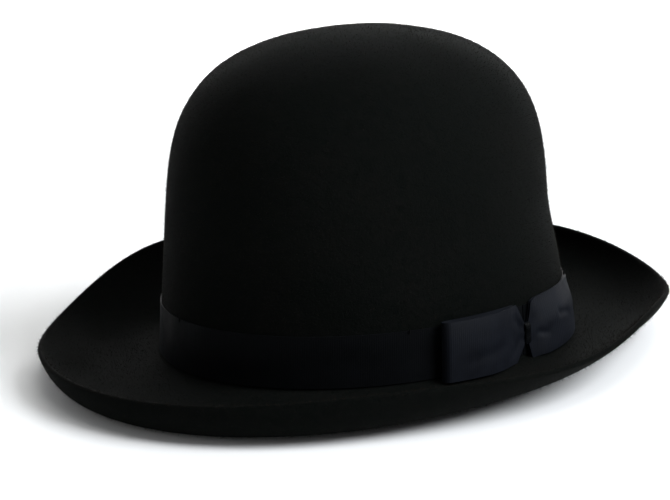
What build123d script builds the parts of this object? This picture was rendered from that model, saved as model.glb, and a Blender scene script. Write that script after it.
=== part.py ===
from build123d import *
import math
import os

os.makedirs("parts", exist_ok=True)

# Bowler hat in millimetres and degrees. +Z is up, -Y is the wearer's front, +X the wearer's left.
# A direction of 0 is the front, 90 the wearer's left, 180 the back and 270 the wearer's right.

# The block: outside of the felt at the foot of the crown, for a 58 to 59 cm head.
HALF_LENGTH = 104.0
HALF_WIDTH = 88.5
CROWN_HEIGHT = 145.9
CROWN_FULLNESS = 6.5  # higher gives a squarer shoulder
CROWN_TAPER = 0.06
CROWN_LEAN = 6.7  # how far back the top sits from the foot
FLARE = 6.0  # how far the foot of the crown spreads, most at one direction
FLARE_DIRECTION = 125.0
FLARE_TOP = 64.0
FLARE_RUN = 45.0
FELT = 2.5
BREAK = 2.0  # size of the bend where the crown meets the brim

# The brim. Each angle is a level and its swings once, twice and more round the hat, first those that
# peak at the front, then those that peak at the wearer's left.
BRIM_REACH = (60.4, -2.0, 0.6)
LEAVING_ANGLE = (-9.0, -6.4, 5.4, -3.5, 0.9), (5.2,)
EDGE_ANGLE = (85.7, -9.5, 28.8, 12.2, 0.0, -6.0), (-11.1, 16.6)
CURL_LATENESS = (2.95, 0.0, 1.95)

# How the hat lies on a table.
REST_PITCH = -1.00
REST_ROLL = 0.87

# Grosgrain ribbon of the band and the bow.
BAND_WIDTH = 22.5
RIBBON_THICK = 0.5
BAND_LOW = 1.3
BAND_OFF = 0.3
TACK_RADIUS = 0.25
TACK_COUNT = 5

BOW_DIRECTION = 86.0
BOW_HALF = 55.0
BOW_WIRE = 0.4  # thickness of the ribbon in the bow
BOW_WIDTH = 26.0
BOW_STAND = 4.6  # how far the ends of the loops stand off the band
BOW_PINCH = 4.2
KNOT_HALF = 2.5

# Head opening, inside the felt.
LEATHER = 1.0
LEATHER_DEPTH = 3.6
LEATHER_TOP = 36.0
REED_RADIUS = 0.75
REED_DROP = -1.0
TAPE = 0.3
TAPE_TOP = 8.0
LINING = 0.3
LINING_LOW = 10.0
LINING_TOP = 118.0
LABEL_DIRECTION = 140.0
LABEL_LENGTH = 16.0
LABEL_HEIGHT = 9.0
LABEL_THICK = 0.25

DIRECTIONS = 36


def add(p, q, scale=1.0):
    return tuple(x + y * scale for x, y in zip(p, q))


def blend(p, q, share):
    return tuple(x + (y - x) * share for x, y in zip(p, q))


def unit(p):
    size = math.sqrt(sum(x * x for x in p))
    return tuple(x / size for x in p)


def cross(p, q):
    return (p[1] * q[2] - p[2] * q[1], p[2] * q[0] - p[0] * q[2], p[0] * q[1] - p[1] * q[0])


def smooth(share):
    share = min(max(share, 0.0), 1.0)
    return share * share * (3 - 2 * share)


def around(swings, turn):
    front, left = swings if isinstance(swings[0], tuple) else (swings, ())
    return (sum(size * math.cos(times * turn) for times, size in enumerate(front))
            + sum(size * math.sin(times * turn) for times, size in enumerate(left, 1)))


def away(turn):
    """Level direction square to the oval of the crown."""
    return unit((HALF_LENGTH * math.sin(turn), -HALF_WIDTH * math.cos(turn), 0.0))


def flare(turn, height):
    lobe = ((1 + math.cos(turn - math.radians(FLARE_DIRECTION))) / 2) ** 3
    return FLARE * lobe * smooth((FLARE_TOP - max(height, 0.0)) / FLARE_RUN)


def crown(turn, height):
    """Outside of the crown, carried straight down below its foot."""
    share = height / CROWN_HEIGHT
    swell = math.sqrt(max(0.0, 1 - max(share, 0.0) ** CROWN_FULLNESS)) * (1 - CROWN_TAPER * share)
    oval = (HALF_WIDTH * swell * math.sin(turn),
            -HALF_LENGTH * swell * math.cos(turn) + CROWN_LEAN * share, height)
    return add(oval, away(turn), flare(turn, height))


def brim(turn, run, steps=24):
    """Upper face of the brim, run millimetres out from the foot of the crown."""
    reach = around(BRIM_REACH, turn) / BRIM_REACH[0]
    leave, edge = around(LEAVING_ANGLE, turn), around(EDGE_ANGLE, turn)
    late = around(CURL_LATENESS, turn)
    out = up = 0.0
    for step in range(steps):
        share = (step + 0.5) / steps * run / BRIM_REACH[0]
        slope = math.radians(leave + (edge - leave) * share ** late)
        out += math.cos(slope) * run / steps * reach
        up += math.sin(slope) * run / steps * reach
    out += flare(turn, 0.0) * ((1 - run / BRIM_REACH[0]) ** 2 - 1)
    return add(add(crown(turn, 0.0), away(turn), out), (0.0, 0.0, up))


def skin(turn, station):
    """Outer skin: 0 is the top of the crown, 1 its foot, 2 the start of the brim and 3 its edge."""
    if station <= 1:
        return crown(turn, CROWN_HEIGHT - (CROWN_HEIGHT - BREAK) * station ** 2)
    if station <= 2:
        foot, low, high = crown(turn, 0.0), crown(turn, BREAK), brim(turn, BREAK)
        share = station - 1
        return blend(blend(low, foot, share), blend(foot, high, share), share)
    return brim(turn, BREAK + (BRIM_REACH[0] - BREAK) * (station - 2))


def facing(surface, turn, along, small=1e-4):
    """Direction square to a surface, away from the head."""
    down = add(surface(turn, along + small), surface(turn, along - small), -1)
    side = add(surface(turn + small, along), surface(turn - small, along), -1)
    return unit(cross(down, side))


def hood_point(turn, station, depth):
    if station == 0:
        return add(skin(turn, 0.0), (0.0, 0.0, -depth))
    return add(skin(turn, station), facing(skin, turn, station), -depth)


def wall_point(turn, height, out):
    """Point a given distance off the outside of the crown wall; below zero is inside."""
    return add(crown(turn, height), facing(crown, turn, height), -out)


def rim_point(turn, roll):
    """Point on the rounded raw edge; a roll of 0 is its upper face and 180 its lower face."""
    face = facing(skin, turn, 2.999)
    onward = unit(add(skin(turn, 3.0), skin(turn, 2.99), -1))
    middle = add(skin(turn, 3.0), face, -FELT / 2)
    return add(add(middle, face, math.cos(roll) * FELT / 2), onward, math.sin(roll) * FELT / 2)


def ring(point):
    """Closed smooth loop once round the head."""
    turns = [2 * math.pi * step / DIRECTIONS for step in range(DIRECTIONS)]
    marks = [step / DIRECTIONS for step in range(DIRECTIONS + 1)]
    return Wire([Edge.make_spline([point(turn) for turn in turns], periodic=True, parameters=marks)])


def curve(points):
    marks = [step / (len(points) - 1) for step in range(len(points))]
    return Edge.make_spline(points, parameters=marks)


def outline(outer, inner):
    """Closed outline of a thin strip, from the points of its two faces in the same order."""
    return Wire([curve(outer), Edge.make_line(outer[-1], inner[-1]),
                 curve(inner[::-1]), Edge.make_line(inner[0], outer[0])])


def flatten(points, middle, along):
    """Points moved on to the flat plane square to a direction, so that an end can be capped."""
    offsets = [sum((x - y) * z for x, y, z in zip(point, middle, along)) for point in points]
    return [add(point, along, -offset) for point, offset in zip(points, offsets)]


def thin_solid(faces):
    """Closed strip through rows of points: each entry holds the row on its two faces."""
    for end, other in ((0, 1), (-1, -2)):
        along = unit(add(faces[other][0][0], faces[end][0][0], -1))
        faces[end] = [flatten(row, faces[end][0][0], along) for row in faces[end]]
    return Solid.make_loft([outline(outer, inner) for outer, inner in faces])


def round_solid(parts):
    """Closed solid from lofts round the head, each starting on the ring where the last one ended."""
    return Solid(Shell([face for part in parts for face in Shell.make_loft(part).faces()]))


def strip(first, last, heights, outer, inner, sections=48):
    """Strip round the crown wall between two directions; outer and inner give its distance by height."""
    faces = []
    for step in range(sections + 1):
        turn = math.radians(first + (last - first) * step / sections)
        faces.append([[wall_point(turn, z, out(z)) for z in heights] for out in (outer, inner)])
    return thin_solid(faces)


def heights_between(low, high, count):
    return [low + (high - low) * step / (count - 1) for step in range(count)]


def butt(direction, gap, height=0.0):
    """First and last direction of a strip whose ends meet at a direction with a gap."""
    spot = wall_point(math.radians(direction), height, 0.0)
    half = math.degrees(gap / 2 / math.hypot(spot[0], spot[1]))
    return direction + half, direction + 360 - half


def felt_rings(first, last, steps, depth):
    return [ring(lambda turn, s=first + (last - first) * step / steps: hood_point(turn, s, depth))
            for step in range(steps + 1)]


def felt_hood():
    parts = []
    for depth in (0.0, FELT):
        top = [Vertex(*hood_point(0.0, 0, depth))] + felt_rings(1 / 32, 1, 31, depth)
        bend = [top[-1]] + felt_rings(1.2, 1.8, 3, depth)
        flat = felt_rings(2, 3, 20, depth)
        parts.append((top, bend + flat[:1], flat))
    edge = [ring(lambda turn, r=math.pi * step / 6: rim_point(turn, r)) for step in range(1, 6)]
    rim = [parts[0][2][-1]] + edge + [parts[1][2][-1]]
    return round_solid([*parts[0], rim, *parts[1]])


def hat_band():
    first, last = butt(BOW_DIRECTION, 0.5)
    heights = heights_between(BAND_LOW, BAND_LOW + BAND_WIDTH, 5)
    return strip(first, last, heights, lambda z: BAND_OFF + RIBBON_THICK, lambda z: BAND_OFF)


def rod(points, radius):
    """Round thread or reed through a row of points, with flat ends."""
    return sweep(Plane(origin=points[0], z_dir=add(points[1], points[0], -1)) * Circle(radius),
                 path=curve(points))


def band_tacks():
    """Short thread stitches over the top edge of the band."""
    edge = BAND_LOW + BAND_WIDTH
    tacks = []
    for count in range(TACK_COUNT):
        turn = math.radians(BOW_DIRECTION + 360 * (count + 0.5) / TACK_COUNT)
        tacks.append(rod([wall_point(turn, edge + rise, BAND_OFF + RIBBON_THICK + 2 * TACK_RADIUS)
                          for rise in (-1.2, -0.2, 0.8)], TACK_RADIUS))
    return Compound(children=tacks)


def loop_strip(path, half_height, place, thick):
    """Ribbon laid along a flat path of (along, out), mapped on to the wall by place(along, rise, out)."""
    faces = []
    for count, (along, out) in enumerate(path):
        before, after = path[max(count - 1, 0)], path[min(count + 1, len(path) - 1)]
        run = unit(add(after, before, -1))
        face = (-run[1] * thick / 2, run[0] * thick / 2)
        rises = heights_between(-half_height(along), half_height(along), 3)
        faces.append([[place(along + face[0] * side, rise, out + face[1] * side) for rise in rises]
                      for side in (1, -1)])
    return thin_solid(faces)


def bow_path(half, back, front, stand, gap=0.3, steps=14):
    """Flat loop from the middle of the back, round one end, over the front and round the other end."""
    fold = stand / 2
    path = []
    for step in range(steps + 1):
        share = step / steps
        path.append((gap / 2 + (half - fold - gap / 2) * share, back))
    for step in range(1, 8):
        angle = math.pi * step / 8
        path.append((half - fold + fold * math.sin(angle), back + fold - fold * math.cos(angle)))
    for step in range(steps + 1):
        along = (half - fold) * (1 - step / steps)
        path.append((along, front + (back + stand - front) * smooth(along / (half - fold))))
    return path + [(-along, out) for along, out in reversed(path[:-1])]


def bow_loops():
    back = BAND_OFF + RIBBON_THICK + 0.9

    def place(along, rise, out):
        turn = math.radians(BOW_DIRECTION) + along / HALF_LENGTH
        return wall_point(turn, BAND_LOW + BOW_WIDTH / 2 + rise, out)

    def half_height(along):
        return BOW_PINCH + (BOW_WIDTH / 2 - BOW_PINCH) * smooth((abs(along) - 1.5) / 9)

    return loop_strip(bow_path(BOW_HALF, back, back + 0.8, BOW_STAND), half_height, place, BOW_WIRE)


def bow_knot():
    """Ribbon wrapped over the pinch of the bow; its path runs up the wall instead of along it."""
    back = BAND_OFF + RIBBON_THICK + 0.35
    stand = 1.85
    half = BOW_PINCH + 1.2

    def place(along, rise, out):
        turn = math.radians(BOW_DIRECTION) + rise / HALF_LENGTH
        return wall_point(turn, BAND_LOW + BOW_WIDTH / 2 + along, out)

    return loop_strip(bow_path(half, back, back + stand, stand), lambda along: KNOT_HALF, place, BOW_WIRE)


def sweatband():
    first, last = butt(180, 0.8)
    heights = heights_between(REED_DROP + REED_RADIUS + 0.2, LEATHER_TOP, 7)
    return strip(first, last, heights, lambda z: -LEATHER_DEPTH, lambda z: -LEATHER_DEPTH - LEATHER)


def reed():
    first, last = butt(180, 2.0)
    centre = -LEATHER_DEPTH - LEATHER / 2
    turns = [math.radians(first + (last - first) * step / 48) for step in range(49)]
    return rod([wall_point(turn, REED_DROP, centre) for turn in turns], REED_RADIUS)


def reed_tape():
    """Fabric that hangs from the felt and folds under and round the reed."""
    first, last = butt(180, 1.0)
    centre = -LEATHER_DEPTH - LEATHER / 2
    flange = centre + REED_RADIUS + 0.1 + TAPE
    bends = [math.pi * step / 8 for step in range(9)]
    faces = []
    for step in range(49):
        turn = math.radians(first + (last - first) * step / 48)
        faces.append([[wall_point(turn, z, flange - inward) for z in heights_between(TAPE_TOP, 0, 4)]
                      + [wall_point(turn, REED_DROP - (flange - centre - inward) * math.sin(bend),
                                    centre + (flange - centre - inward) * math.cos(bend))
                         for bend in bends] for inward in (0.0, TAPE)])
    return thin_solid(faces)


def lining_depth(height):
    """The satin lies flat behind the leather and hangs a little freer above it."""
    return FELT + 0.35 + 1.15 * smooth((height - LEATHER_TOP) / 30)


def lining_side():
    first, last = butt(180, 0.4)
    heights = heights_between(LINING_LOW, LINING_TOP, 16)
    return strip(first, last, heights, lambda z: -lining_depth(z), lambda z: -lining_depth(z) - LINING)


def lining_tip():
    """Satin oval over the top of the head, a hair above the top edge of the side."""
    start = math.sqrt((CROWN_HEIGHT - LINING_TOP - 1.5) / (CROWN_HEIGHT - BREAK))
    sides = []
    for depth in (lining_depth(LINING_TOP), lining_depth(LINING_TOP) + LINING):
        sides.append([Vertex(*hood_point(0.0, 0, depth))] + felt_rings(start / 10, start, 9, depth))
    return round_solid([sides[0], [sides[0][-1], sides[1][-1]], sides[1]])


def sweatband_bow():
    """Small ribbon bow that hides the joint of the leather at the back."""
    back = LEATHER_DEPTH + LEATHER + 0.4

    def place(along, rise, out):
        spot = math.radians(180) + along / HALF_WIDTH
        return wall_point(spot, LEATHER_TOP / 2 + rise, -out)

    return loop_strip(bow_path(11.0, back, back + 0.6, 2.2), lambda along: 2.5 + 0.5 * smooth(abs(along) / 8),
                      place, 0.25)


def size_label():
    half = math.degrees(LABEL_LENGTH / 2 / HALF_LENGTH)
    heights = heights_between(LEATHER_TOP / 2 - LABEL_HEIGHT / 2, LEATHER_TOP / 2 + LABEL_HEIGHT / 2, 3)
    face = -LEATHER_DEPTH - LEATHER - 0.1
    return strip(LABEL_DIRECTION - half, LABEL_DIRECTION + half, heights,
                 lambda z: face, lambda z: face - LABEL_THICK, 8)


PIECES = {
    "felt_hood": felt_hood, "hat_band": hat_band, "band_tacks": band_tacks,
    "bow_loops": bow_loops, "bow_knot": bow_knot, "sweatband": sweatband, "reed": reed,
    "reed_tape": reed_tape, "lining_side": lining_side, "lining_tip": lining_tip,
    "sweatband_bow": sweatband_bow, "size_label": size_label,
}

lay = Rot(REST_PITCH, REST_ROLL, 0)
solids = {node: lay * build() for node, build in PIECES.items()}
box = solids["felt_hood"].bounding_box()
stand = Pos(-(box.min.X + box.max.X) / 2, -(box.min.Y + box.max.Y) / 2, -box.min.Z)
for node, solid in solids.items():
    export_step(stand * solid, f"parts/{node}.step")
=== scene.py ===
import math

import bmesh
import bpy
import numpy as np
from mathutils import Matrix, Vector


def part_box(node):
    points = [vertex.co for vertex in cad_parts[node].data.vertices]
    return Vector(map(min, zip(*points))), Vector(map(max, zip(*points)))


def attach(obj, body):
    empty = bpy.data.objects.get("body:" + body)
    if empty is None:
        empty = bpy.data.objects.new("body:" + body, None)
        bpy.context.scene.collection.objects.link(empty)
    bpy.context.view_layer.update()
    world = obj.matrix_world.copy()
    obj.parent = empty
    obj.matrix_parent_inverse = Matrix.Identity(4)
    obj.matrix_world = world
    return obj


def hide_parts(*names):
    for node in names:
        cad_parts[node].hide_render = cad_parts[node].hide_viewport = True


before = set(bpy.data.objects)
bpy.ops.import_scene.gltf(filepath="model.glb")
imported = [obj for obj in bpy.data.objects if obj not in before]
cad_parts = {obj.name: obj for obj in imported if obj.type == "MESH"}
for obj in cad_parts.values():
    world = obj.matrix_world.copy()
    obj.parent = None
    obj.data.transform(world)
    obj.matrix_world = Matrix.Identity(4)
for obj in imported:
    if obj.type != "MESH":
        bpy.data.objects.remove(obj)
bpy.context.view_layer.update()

bl_info = {
    "name": "Bowler Hat",
    "version": (1, 0, 0),
    "blender": (4, 5, 0),
    "location": "View3D > Sidebar > Bowler Hat",
    "description": "Dresses the packed bowler hat in felt, ribbon, leather and satin",
    "category": "Add Mesh",
}

# The block, in millimetres and degrees, as in the CAD: direction 0 is the front, 90 the wearer's left. What
# changes round the hat is a level, then the cosines of once, twice and more the turn, and for the two
# angles of the brim their sines in a second bracket.
HALF_LENGTH = 104.0
HALF_WIDTH = 88.5
CROWN_HEIGHT = 145.9
CROWN_FULLNESS = 6.5
CROWN_TAPER = 0.06
CROWN_LEAN = 6.7
FLARE = 6.0
FLARE_DIRECTION = 125.0
FLARE_TOP = 64.0
FLARE_RUN = 45.0
FELT = 2.5
BREAK = 2.0
BRIM_REACH = (60.4, -2.0, 0.6)
LEAVING_ANGLE = (-9.0, -6.4, 5.4, -3.5, 0.9), (5.2,)
EDGE_ANGLE = (85.7, -9.5, 28.8, 12.2, 0.0, -6.0), (-11.1, 16.6)
CURL_LATENESS = (2.95, 0.0, 1.95)
REST_PITCH = -1.00
REST_ROLL = 0.87

BAND_WIDTH = 22.5
BAND_LOW = 1.3
BAND_OFF = 0.3
BOW_DIRECTION = 86.0
BOW_HALF = 55.0
BOW_WIDTH = 26.0
BOW_STAND = 4.6
BOW_PINCH = 4.2
KNOT_HALF = 2.5

LEATHER = 1.0
LEATHER_DEPTH = 3.6
LEATHER_TOP = 36.0
REED_RADIUS = 0.75
REED_DROP = -1.0
TAPE = 0.3
TAPE_TOP = 8.0
LINING_LOW = 10.0
LINING_TOP = 118.0
LABEL_DIRECTION = 140.0

# Trimmings as drawn here, in millimetres. The tip is an oval when it is laid flat.
BAND_CLOTH = 0.45
BOW_CLOTH = 0.4
THIN_CLOTH = 0.25
BEHIND_BOW = 1.4
BOW_SINK = 1.6
CROWN_ROUND = 606.0
POINTS_ON_RIB = 4
POINTS_BEHIND = 70
POINTS_IN_BEND = 16

# The view, in the same upright frame of the block: where the eye stands round the hat.
VIEW_TURN = 32.87
VIEW_HEIGHT = 11.38
VIEW_TILT = 1.73
VIEW_DISTANCE = 893.4
VIEW_AIM = 60.0
VIEW_LENS = 101.05
VIEW_SHIFT = (-0.0298, -0.0636)

BACK = math.pi
UP = np.array([0.0, 0.0, 1.0])


# ---------------------------------------------------------------- shape of the block

def around(swings, turn):
    """A level and its swings once, twice and more round the hat."""
    front, left = swings if isinstance(swings[0], tuple) else (swings, ())
    return (sum(size * np.cos(times * turn) for times, size in enumerate(front))
            + sum(size * np.sin(times * turn) for times, size in enumerate(left, 1)))


def smooth(share):
    """Eased step from 0 to 1."""
    share = np.clip(share, 0.0, 1.0)
    return share * share * (3 - 2 * share)


def unit(vectors):
    return vectors / np.linalg.norm(vectors, axis=-1, keepdims=True)


def outward(turn, lift):
    """Direction from the hat, for a turn round it and a lift above level in degrees."""
    turn, lift = math.radians(turn), math.radians(lift)
    return np.array([math.sin(turn) * math.cos(lift), -math.cos(turn) * math.cos(lift), math.sin(lift)])


def away(turn):
    """Level direction square to the oval of the crown."""
    return unit(np.stack([HALF_LENGTH * np.sin(turn), -HALF_WIDTH * np.cos(turn), 0 * turn], axis=-1))


def flare(turn, height):
    """How far the foot of the crown spreads."""
    lobe = ((1 + np.cos(turn - math.radians(FLARE_DIRECTION))) / 2) ** 3
    return FLARE * lobe * smooth((FLARE_TOP - np.maximum(height, 0.0)) / FLARE_RUN)


def crown(turn, height):
    """Outside of the crown, carried straight down below its foot."""
    turn, height = np.broadcast_arrays(np.asarray(turn, float), np.asarray(height, float))
    share = height / CROWN_HEIGHT
    swell = np.sqrt(np.maximum(0.0, 1 - np.maximum(share, 0.0) ** CROWN_FULLNESS)) * (1 - CROWN_TAPER * share)
    oval = np.stack([HALF_WIDTH * swell * np.sin(turn),
                     -HALF_LENGTH * swell * np.cos(turn) + CROWN_LEAN * share, height], axis=-1)
    return oval + away(turn) * flare(turn, height)[..., None]


def brim(turn, run, steps=32):
    """Upper face of the brim, run millimetres out from the foot of the crown."""
    turn, run = np.broadcast_arrays(np.asarray(turn, float), np.asarray(run, float))
    reach = run * around(BRIM_REACH, turn) / BRIM_REACH[0]
    leave, edge = around(LEAVING_ANGLE, turn)[..., None], around(EDGE_ANGLE, turn)[..., None]
    share = (np.arange(steps) + 0.5) / steps * run[..., None] / BRIM_REACH[0]
    slope = np.radians(leave + (edge - leave) * share ** around(CURL_LATENESS, turn)[..., None])
    out = np.cos(slope).mean(-1) * reach + flare(turn, 0.0) * ((1 - run / BRIM_REACH[0]) ** 2 - 1)
    return crown(turn, 0.0) + away(turn) * out[..., None] + UP * (np.sin(slope).mean(-1) * reach)[..., None]


def skin(turn, station):
    """Outer skin: 0 is the top of the crown, 1 its foot, 2 the start of the brim and 3 its edge."""
    turn, station = np.broadcast_arrays(np.asarray(turn, float), np.asarray(station, float))
    upper = crown(turn, CROWN_HEIGHT - (CROWN_HEIGHT - BREAK) * np.minimum(station, 1) ** 2)
    share = np.clip(station - 1, 0, 1)[..., None]
    low, foot, flat = crown(turn, BREAK), crown(turn, 0.0), brim(turn, BREAK)
    bend = low * (1 - share) ** 2 + foot * 2 * share * (1 - share) + flat * share ** 2
    outer = brim(turn, BREAK + (BRIM_REACH[0] - BREAK) * np.maximum(station - 2, 0))
    where = station[..., None]
    return np.where(where <= 1, upper, np.where(where <= 2, bend, outer))


# Just inside the edge of the brim, where the skin still has a direction on both sides.
NEAR_EDGE = 2.999


def facing(surface, turn, along, small=1e-4):
    """Direction square to a surface given by turn and distance along."""
    down = surface(turn, along + small) - surface(turn, along - small)
    side = surface(turn + small, along) - surface(turn - small, along)
    return unit(np.cross(down, side))


def hood_point(turn, station, depth):
    """Point a given depth under the outer skin, which faces no way at its very top."""
    station = np.maximum(station, 1e-3)
    return skin(turn, station) - facing(skin, turn, station) * np.asarray(depth, float)[..., None]


def wall_point(turn, height, out):
    """Point a given distance off the outside of the crown wall; below zero is inside."""
    return crown(turn, height) - facing(crown, turn, height) * np.asarray(out, float)[..., None]


def rim_point(turn, roll):
    """Point on the rounded raw edge of the felt."""
    face = facing(skin, turn, NEAR_EDGE)
    onward = unit(skin(turn, 3.0) - skin(turn, 2.99))
    middle = skin(turn, 3.0) - face * FELT / 2
    return middle + (face * np.cos(roll)[..., None] + onward * np.sin(roll)[..., None]) * FELT / 2


def resting():
    """Turn and shift that lay the hat where the CAD hood lies."""
    turn = np.array((Matrix.Rotation(math.radians(REST_PITCH), 3, "X")
                     @ Matrix.Rotation(math.radians(REST_ROLL), 3, "Y")))
    round_hat = np.linspace(0, math.tau, 721)[:, None]
    under = hood_point(round_hat, np.linspace(2.0, 3.0, 201), FELT)
    edge = rim_point(round_hat, np.linspace(0, math.pi, 17)[None, :])
    points = np.concatenate([under.reshape(-1, 3), edge.reshape(-1, 3)]) @ turn.T
    low, high = (np.array(corner) * 1000 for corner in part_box("felt_hood"))
    middle = (low + high) / 2 - (points.min(0) + points.max(0)) / 2
    return turn, np.array([middle[0], middle[1], low[2] - points[:, 2].min()])


LAY, SHIFT = resting()


def settle(points):
    """Millimetres in the frame of the block to metres where the hat rests."""
    return (np.asarray(points, float) @ LAY.T + SHIFT) / 1000


def lining_depth(height):
    """How deep under the outside of the crown the lining lies: it clears the sweatband, then follows the felt."""
    return FELT + 0.35 + 1.15 * smooth((height - LEATHER_TOP) / 30)


# ---------------------------------------------------------------- meshes

def put(name, data):
    """Object linked to the scene."""
    thing = bpy.data.objects.new(name, data)
    bpy.context.scene.collection.objects.link(thing)
    return thing


def new_piece(name, points, faces, material, uv=None, sharp=40.0):
    """Plain mesh object riding on the hat, with outward faces and a UV map in metres."""
    mesh = bpy.data.meshes.new(name)
    mesh.from_pydata(settle(points).tolist(), [], faces)
    if uv is not None:
        layer = mesh.uv_layers.new(name="cloth")
        corners = np.empty(len(mesh.loops), int)
        mesh.loops.foreach_get("vertex_index", corners)
        layer.data.foreach_set("uv", (np.asarray(uv, float)[corners] / 1000).ravel())
    shell = bmesh.new()
    shell.from_mesh(mesh)
    bmesh.ops.recalc_face_normals(shell, faces=shell.faces)
    shell.to_mesh(mesh)
    shell.free()
    mesh.polygons.foreach_set("use_smooth", [True] * len(mesh.polygons))
    mesh.set_sharp_from_angle(angle=math.radians(sharp))
    mesh.materials.append(material)
    return put(name, mesh)


def quads(rows, columns, wrap, start=0, flip=False):
    """Faces of a grid of points numbered row by row; wrap joins the last column to the first."""
    faces = []
    for row in range(rows - 1):
        for column in range(columns if wrap else columns - 1):
            after = (column + 1) % columns
            face = (start + row * columns + column, start + row * columns + after,
                    start + (row + 1) * columns + after, start + (row + 1) * columns + column)
            faces.append(face[::-1] if flip else face)
    return faces


def spacing(points, axis):
    """Mean running length along one axis of a grid of points."""
    steps = np.linalg.norm(np.diff(points, axis=axis), axis=-1).mean(axis=1 - axis)
    return np.concatenate([[0.0], np.cumsum(steps)])


def cloth_solid(name, grid, thick, material, relief=0.0, sharp=40.0):
    """Thin closed solid round a grid of middle points (rows along, columns across).

    relief is added to the outer face only, so ribs and grain are real shape."""
    rows, columns = grid.shape[:2]
    run, cross = np.gradient(grid, axis=0), np.gradient(grid, axis=1)
    face = unit(np.cross(cross, run))
    outer = grid + face * np.broadcast_to(thick / 2 + relief, grid.shape[:2])[..., None]
    inner = grid - face * thick / 2
    count = rows * columns
    faces = quads(rows, columns, False) + quads(rows, columns, False, count, True)
    edge = ([(0, column) for column in range(columns)] + [(row, columns - 1) for row in range(1, rows)]
            + [(rows - 1, column) for column in range(columns - 2, -1, -1)]
            + [(row, 0) for row in range(rows - 2, 0, -1)])
    loop = [row * columns + column for row, column in edge]
    for here, after in zip(loop, loop[1:] + loop[:1]):
        faces.append((here, here + count, after + count, after))
    along, across = np.meshgrid(spacing(grid, 0), spacing(grid, 1), indexing="ij")
    uv = np.stack([along, across], axis=-1).reshape(-1, 2)
    return new_piece(name, np.concatenate([outer.reshape(-1, 3), inner.reshape(-1, 3)]), faces, material,
                     np.concatenate([uv, uv]), sharp)


def along_and_out(*halves):
    """The two coordinates of a closed path given in halves, each as one column."""
    path = np.concatenate(halves)
    return path[:, :1], path[:, 1:]


def butt(direction, gap):
    """First and last turn of a strip whose ends meet at a direction with a gap."""
    spot = crown(math.radians(direction), 0.0)
    half = gap / 2 / np.hypot(spot[0], spot[1])
    return math.radians(direction) + half, math.radians(direction) + math.tau - half


def ribs(grid, pitch, height):
    """Relief of the cords of grosgrain, which run across the ribbon."""
    along = spacing(grid, 0)[:, None]
    return height * np.cos(2 * math.pi * along / pitch) * np.ones(grid.shape[:2])


def ride(piece, slot, *nodes):
    """Put a piece on the hat and hide the CAD nodes that it stands for; the slot is not used."""
    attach(piece, "root")
    if nodes:
        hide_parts(*nodes)


# ---------------------------------------------------------------- materials

def linear(code):
    """Linear colour from an sRGB hex code."""
    channels = [int(code[place:place + 2], 16) / 255 for place in (1, 3, 5)]
    return [c / 12.92 if c <= 0.04045 else ((c + 0.055) / 1.055) ** 2.4 for c in channels] + [1.0]


def add(tree, kind, links=None, **settings):
    """Node with its settings, and its inputs set to values or joined to other nodes' outputs."""
    node = tree.nodes.new(kind)
    for name, value in settings.items():
        setattr(node, name, value)
    for name, value in (links or {}).items():
        if isinstance(value, bpy.types.NodeSocket):
            tree.links.new(value, node.inputs[name])
        else:
            node.inputs[name].default_value = value
    return node


def per(millimetres):
    """Texture scale that repeats every so many millimetres."""
    return 1000 / millimetres


def bands(millimetres):
    """Scale of a band wave, which Blender repeats every 2 pi / 20 of its scaled coordinate."""
    return math.tau / 20 * per(millimetres)


def new_material(name):
    """Empty node material and its tree."""
    material = bpy.data.materials.new(name)
    material.use_nodes = True
    material.node_tree.nodes.clear()
    return material, material.node_tree


def finish_material(tree, colour, bump, **values):
    """Surface shader with its inputs named by keyword, and the output."""
    links = {"Base Color": colour, "Normal": bump.outputs["Normal"]}
    links.update({name.replace("_", " "): value for name, value in values.items()})
    shader = add(tree, "ShaderNodeBsdfPrincipled", links)
    add(tree, "ShaderNodeOutputMaterial", {"Surface": shader.outputs[0]})


def between(tree, factor, first, second):
    """Colour that runs from one to another with a factor."""
    return add(tree, "ShaderNodeMix", {0: factor, 6: first, 7: second}, data_type="RGBA").outputs[2]


def wool_felt(colour, worn):
    # Wool felt, stiffened, brushed and pounced: dead matte, a short tangled nap that catches light at a
    # glancing angle, and faint clouds where the nap lies one way or the other.
    material, tree = new_material("wool felt")
    place = add(tree, "ShaderNodeTexCoord").outputs["Object"]
    fibre = add(tree, "ShaderNodeTexNoise", {"Vector": place, "Scale": per(0.9), "Detail": 5.0, "Roughness": 0.7})
    tuft = add(tree, "ShaderNodeTexNoise", {"Vector": place, "Scale": per(3.2), "Detail": 3.0, "Roughness": 0.6,
                                            "Distortion": 0.8})
    cloud = add(tree, "ShaderNodeTexNoise", {"Vector": place, "Scale": per(38), "Detail": 3.0, "Roughness": 0.55})
    lay = add(tree, "ShaderNodeMath", {0: tuft.outputs["Fac"], 1: cloud.outputs["Fac"]}, operation="MULTIPLY")
    spread = add(tree, "ShaderNodeMapRange", {"Value": lay.outputs[0], "From Min": 0.14, "From Max": 0.38})
    shade = between(tree, spread.outputs[0], colour, worn)
    rough = add(tree, "ShaderNodeMapRange", {"Value": cloud.outputs["Fac"], "From Min": 0.3, "From Max": 0.7,
                                             "To Min": 0.82, "To Max": 0.98})
    coarse = add(tree, "ShaderNodeBump", {"Height": tuft.outputs["Fac"], "Strength": 0.5, "Distance": 0.0005})
    bump = add(tree, "ShaderNodeBump", {"Height": fibre.outputs["Fac"], "Strength": 0.75, "Distance": 0.00035,
                                        "Normal": coarse.outputs["Normal"]})
    finish_material(tree, shade, bump, Roughness=rough.outputs[0], Sheen_Weight=0.006, Sheen_Roughness=0.4,
                    Sheen_Tint=linear("#b8b4a8"), Specular_IOR_Level=0.03)
    return material


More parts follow.
